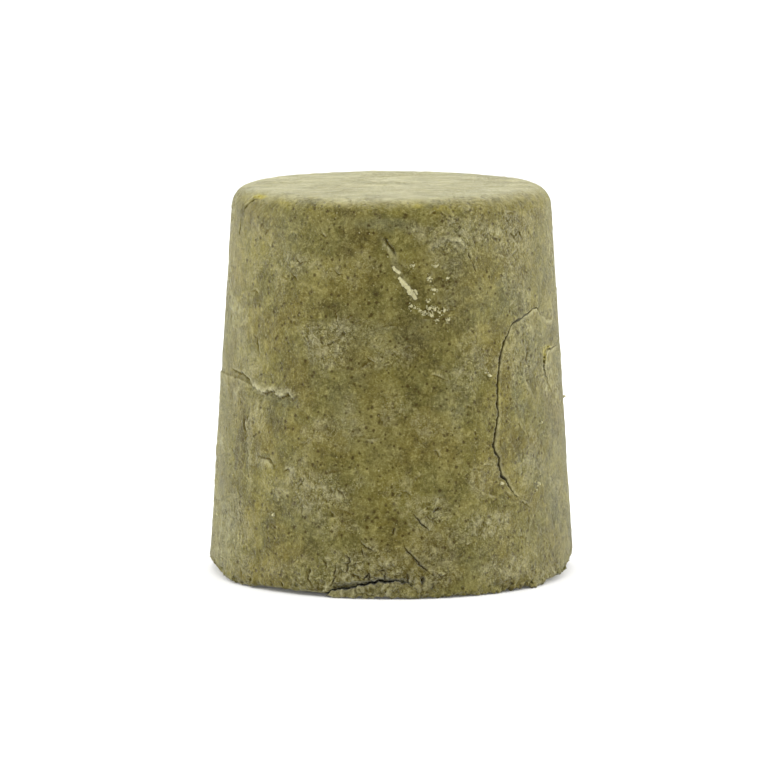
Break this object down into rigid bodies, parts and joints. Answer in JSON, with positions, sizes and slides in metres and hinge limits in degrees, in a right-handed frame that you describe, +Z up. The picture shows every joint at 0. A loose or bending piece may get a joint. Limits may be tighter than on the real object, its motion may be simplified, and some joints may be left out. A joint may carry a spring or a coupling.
{
  "type": "solid shampoo cake",
  "caption": "Tapered, hand-pressed solid shampoo cake with a rounded shoulder, a flat foot, cracks, a scrape and crumbs.",
  "frame": {"origin": "centre of the flat foot that the cake rests on", "axes": "+Z up along the cake's axis of revolution, -Y towards the side with the scrape, +X towards the side with the long crack"},
  "size_m": [0.0455, 0.0451, 0.0475],
  "materials": {
    "cake_paste": "matt, waxy, speckled olive-green pressed paste",
    "pale_paste": "matt, pale, freshly scraped paste"
  },
  "bodies": {
    "root": {"cake_body": "cake_paste", "side_flake": "cake_paste", "edge_chip": "cake_paste", "base_flap": "cake_paste", "scraped_curl": "pale_paste", "scrape_crumbs": "pale_paste", "wall_crumbs": "pale_paste", "rim_crumbs": "cake_paste"}
  },
  "joints": []
}
